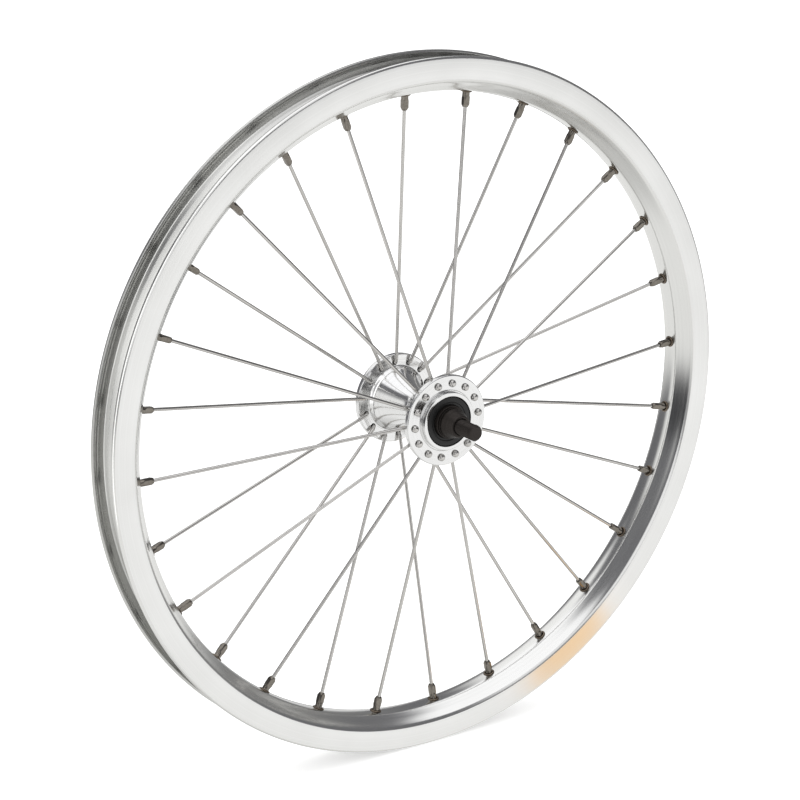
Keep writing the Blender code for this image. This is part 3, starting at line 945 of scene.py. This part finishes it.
@dataclass
class HubShell:
    """A one-piece shell: two drilled flanges on a bell-shaped barrel."""

    flange_radius: float = 23.5
    hole_radius: float = 1.4
    hole_chamfer: float = 0.2
    boss_radius: float = 15.0
    boss_face: float = 26.6
    groove_depth: float = 0.45
    bearing_radius: float = 13.0
    bearing_shoulder: float = 17.3
    centre_radius: float = 6.6
    waist_radius: float = 8.6
    flare_radius: float = 16.6
    flare_power: float = 1.4
    flare_end: float = 0.93
    flare_rows: int = 17
    columns_a_hole: int = 12
    patch: float = 1.75

    def half_profile(self) -> Array:
        """The skin from the waist out over the flange to the centre bore, for y above 0.

        The bell's radius is waist + (flare - waist) * share ** power, with share the part of the way to the flange.
        """
        inner_y, outer_y, rim, boss = FLANGE_INNER, FLANGE_OUTER, self.flange_radius, self.boss_radius
        share = np.linspace(0, self.flare_end, self.flare_rows + 1)[1:]
        flare = self.waist_radius + (self.flare_radius - self.waist_radius) * share**self.flare_power
        bell = np.stack([flare, inner_y * share], 1)
        fillet = np.array([(self.flare_radius + 0.15, inner_y - 0.75), (self.flare_radius + 0.4, inner_y - 0.2)])
        near, far = HOLE_CIRCLE - self.patch, HOLE_CIRCLE + self.patch
        rows = np.linspace(near, far, PATCH_ROWS)
        inner = np.stack([rows, 0 * rows + inner_y], 1)
        outer = np.stack([rows[::-1], 0 * rows + outer_y], 1)
        edge = [(far + 0.5, inner_y, 0), (rim, inner_y, 0.7), (rim, outer_y, 0.7), (far + 0.5, outer_y, 0)]
        groove = boss + self.groove_depth
        low = outer_y - self.groove_depth
        face, shoulder, centre = self.boss_face, self.bearing_shoulder, self.centre_radius
        collar = [(groove + 1.2, outer_y, 0), (groove + 0.35, outer_y, 0.1), (groove + 0.2, low, 0.1), (boss, low, 0.1)]
        collar += [(boss, face, 0.5), (self.bearing_radius, face, 0.3), (self.bearing_radius, shoulder, 0.1)]
        collar += [(centre, shoulder, 0.2), (centre, 0, 0)]
        return np.concatenate([bell, fillet, inner, rounded(edge, 4), outer, rounded(collar, 3)[:-1]])

    def build(self) -> None:
        """Makes the shell, its flanges bored from both faces, and puts it on the wheel."""
        half = self.half_profile()
        profile = np.concatenate([[(self.waist_radius, 0.0)], half, (half * [1, -1])[::-1]])
        ends = (HOLE_CIRCLE - self.patch, HOLE_CIRCLE + self.patch)
        sizes = (self.hole_radius * MM, self.hole_chamfer * MM)
        bores = []
        for side in Side:
            first = self.columns_a_hole // 2 if side is Side.LEFT else 0
            columns = first + np.arange(SPOKES_PER_SIDE) * self.columns_a_hole
            for face, inward in ((FLANGE_INNER, 1), (FLANGE_OUTER, -1)):
                rows = face_rows(np.abs(profile[:, 1] - side.value * face), profile[:, 0], ends)
                bores.append(Bore(rows, columns, *sizes, inward * side.value, False, HOLE_CIRCLE * MM))
        surface = Surface()
        count = SPOKES_PER_SIDE * self.columns_a_hole
        rings = turned_skin(surface, profile, count, bores, np.zeros(len(profile), int))
        for pair in (rings[:2], rings[2:]):
            surface.add_sleeves(pair)
        shell = surface.to_object("hub_barrel", [POLISHED_SHELL.make()])
        settle(shell, WHEEL, "polished_alloy", "hub_shell")


# ---- axle and bearings


@dataclass
class Axle:
    """An 8 mm bar, threaded over what shows of it beyond the locknuts."""

    radius: float = 4.0
    half_length: float = 50.0
    chamfer: float = 0.7
    end_flat_radius: float = 2.7
    thread_pitch: float = 1.0
    thread_depth: float = 0.45
    thread_start: float = 36.0
    rows_a_turn: int = 8
    sides: int = 32

    def build(self) -> None:
        """Makes the bar: radius = R - depth * (1 - |2 f - 1|), with f the part of a turn that y and the angle give."""
        step = self.thread_pitch / self.rows_a_turn
        thread = np.arange(self.thread_start, self.half_length - self.chamfer, step)
        y = np.concatenate([-thread[::-1], np.linspace(-self.thread_start + step, self.thread_start - step, 9), thread])
        angle = turns(self.sides)
        part = (y[:, None] / self.thread_pitch - angle / math.tau) % 1
        fade = np.clip((np.abs(y) - self.thread_start) / self.thread_pitch, 0, 1)[:, None]
        radius = self.radius - self.thread_depth * fade * (1 - np.abs(2 * part - 1))
        end = np.array([[0.0], [self.end_flat_radius], [self.radius - self.chamfer]]) + 0 * angle
        tip = np.full(len(end), self.half_length)
        surface = Surface()
        rows = np.concatenate([-tip, y, tip])[:, None]
        surface.add_band(surface.add_points(spun(np.concatenate([end, radius, end[::-1]]), rows, angle)))
        bar = surface.to_object("axle_bar", [BLACK_OXIDE.make()])
        settle(bar, AXLE_ASSEMBLY, "black_steel", "axle")


@dataclass
class Bearing:
    """One side's cup, balls, dust cap, cone, lock washer and locknut."""

    side: Side
    finishes: dict[str, Material]
    bore_radius: float = 12.7
    cup_floor: float = 17.6
    cup_hole_radius: float = 7.0
    cap_inner_face: float = 23.6
    cap_outer_face: float = 26.4
    cap_wall: float = 1.2
    cone_radius: float = 8.5
    cone_nose_radius: float = 5.8
    cone_end: float = 28.0
    washer_start: float = 28.3
    washer_end: float = 29.3
    washer_radius: float = 8.0
    nut_start: float = 29.6
    nut_radius: float = 7.7
    nut_end_radius: float = 5.5
    nut_face: float = 37.0
    hole_radius: float = 4.25
    ball_radius: float = 2.1
    ball_circle: float = 9.0
    ball_plane: float = 20.8
    ball_count: int = 10
    race_gap: float = 0.15
    columns: int = 72

    def race(self, first: float, last: float, outward: int) -> Corners:
        """A race's groove, just clear of the balls.

        Args:
            first: where it begins, in degrees from the axle's line.
            last: where it ends.
            outward: 1 for a groove outside the balls, -1 for one inside.

        Returns:
            Corners with no cut.
        """
        reach = outward * (self.ball_radius + self.race_gap)
        turn = np.radians(np.linspace(first, last, 7))
        radius, y = self.ball_circle + reach * np.sin(turn), self.ball_plane - reach * np.cos(turn)
        return [(float(a), float(b), 0.0) for a, b in zip(radius, y)]

    def turned(self, section: Array) -> Array:
        """The points of a section turned about the axle on this side."""
        radius, y = np.hsplit(section * [1, self.side.value], 2)
        return spun(radius, y, turns(self.columns))

    def sections(self) -> dict[tuple[str, str, str], Corners]:
        """The turned pieces: (name, solid, material slot), and the corners with their cuts."""
        bore, hole, floor, cone = self.bore_radius, self.hole_radius, self.cup_floor, self.cone_radius
        back, front, wall = self.cap_inner_face, self.cap_outer_face, self.cap_wall
        brim = back - 0.3
        lip = cone + 0.25
        cup = [(bore, brim, 0.2), (bore, floor, 0.3), (self.cup_hole_radius, floor, 0.2)]
        cup += [(self.cup_hole_radius, floor + 0.8, 0.1), *self.race(5, 90, 1)]
        cup += [(self.ball_circle + self.ball_radius + self.race_gap, brim, 0.1)]
        shield = [(bore, back, 0.1), (bore, front, 0.5), (cone + 1.6, front, 0.15), (cone + 1.35, front - 0.3, 0.15)]
        shield += [(lip, front - 0.3, 0.15), (lip, front - wall, 0.1), (bore - wall, front - wall, 0.2)]
        shield += [(bore - wall, back, 0.1)]
        ring = [(hole, floor, 0.1), (self.cone_nose_radius, floor, 0.2), *self.race(0, 70, -1)]
        ring += [(cone, self.ball_plane + 3.0, 0.4), (cone, self.cone_end, 0.4), (hole, self.cone_end, 0.1)]
        start, end, edge = self.washer_start, self.washer_end, self.washer_radius
        washer = [(hole, start, 0.1), (edge, start, 0.15), (edge, end, 0.15), (hole, end, 0.1)]
        nut = [(hole, self.nut_start, 0.1), (self.nut_radius, self.nut_start, 0.25)]
        nut += [(self.nut_radius, self.nut_start + 0.8, 0.4), (self.nut_end_radius, self.nut_face, 0.5)]
        nut += [(hole, self.nut_face, 0.3)]
        return {
            ("cup", "bearing_cup", "bearing_steel"): cup,
            ("dust_shield", "dust_cap", "black_cap"): shield,
            ("bearing_cone", "cone", "black_steel"): ring,
            ("tabbed_washer", "lock_washer", "black_steel"): washer,
            ("tapered_locknut", "locknut", "black_steel"): nut,
        }

    def add_balls(self) -> None:
        """Makes the balls, as grids of latitude and longitude, and their pressed cage."""
        surface = Surface()
        tilt = np.linspace(0, math.pi, 13)[:, None]
        ball = spun(self.ball_radius * np.sin(tilt), self.ball_radius * np.cos(tilt), turns(20))
        centre = spun(np.array([self.ball_circle]), self.side.value * self.ball_plane, turns(self.ball_count))
        for middle in centre:
            surface.add_band(surface.add_points(middle + ball))
        cage = rounded([(8.1, 20.3, 0.1), (9.9, 20.3, 0.1), (9.9, 21.3, 0.1), (8.1, 21.3, 0.1)], 2, True)
        surface.add_band(surface.add_points(self.turned(cage)), closed=True)
        piece = surface.to_object(f"balls_and_cage_{self.side.word}", [self.finishes["bearing_steel"]])
        settle(piece, f"ball_ring_{self.side.word}", "bearing_steel", f"ball_ring_{self.side.word}")

    def build(self) -> None:
        """Makes every piece of the bearing. What is black steel stays with the axle, and the rest turns."""
        for (name, node, slot), corners in self.sections().items():
            surface = Surface()
            surface.add_band(surface.add_points(self.turned(rounded(corners, 3, True))), closed=True)
            piece = surface.to_object(f"{name}_{self.side.word}", [self.finishes[slot]])
            body = AXLE_ASSEMBLY if slot == "black_steel" else WHEEL
            settle(piece, body, slot, f"{node}_{self.side.word}")
        self.add_balls()


def main() -> None:
    """Builds the studio and each sub-assembly in turn."""
    logging.basicConfig(level=logging.INFO, format="%(name)s: %(message)s")
    Studio().build()
    Rim().build()
    Lacing().build()
    HubShell().build()
    Axle().build()
    finishes = {"black_steel": BLACK_OXIDE.make(), "black_cap": MOULDED_CAP.make()}
    finishes["bearing_steel"] = GROUND_STEEL.make()
    for side in Side:
        Bearing(side, finishes).build()


if __name__ == "__main__":
    main()
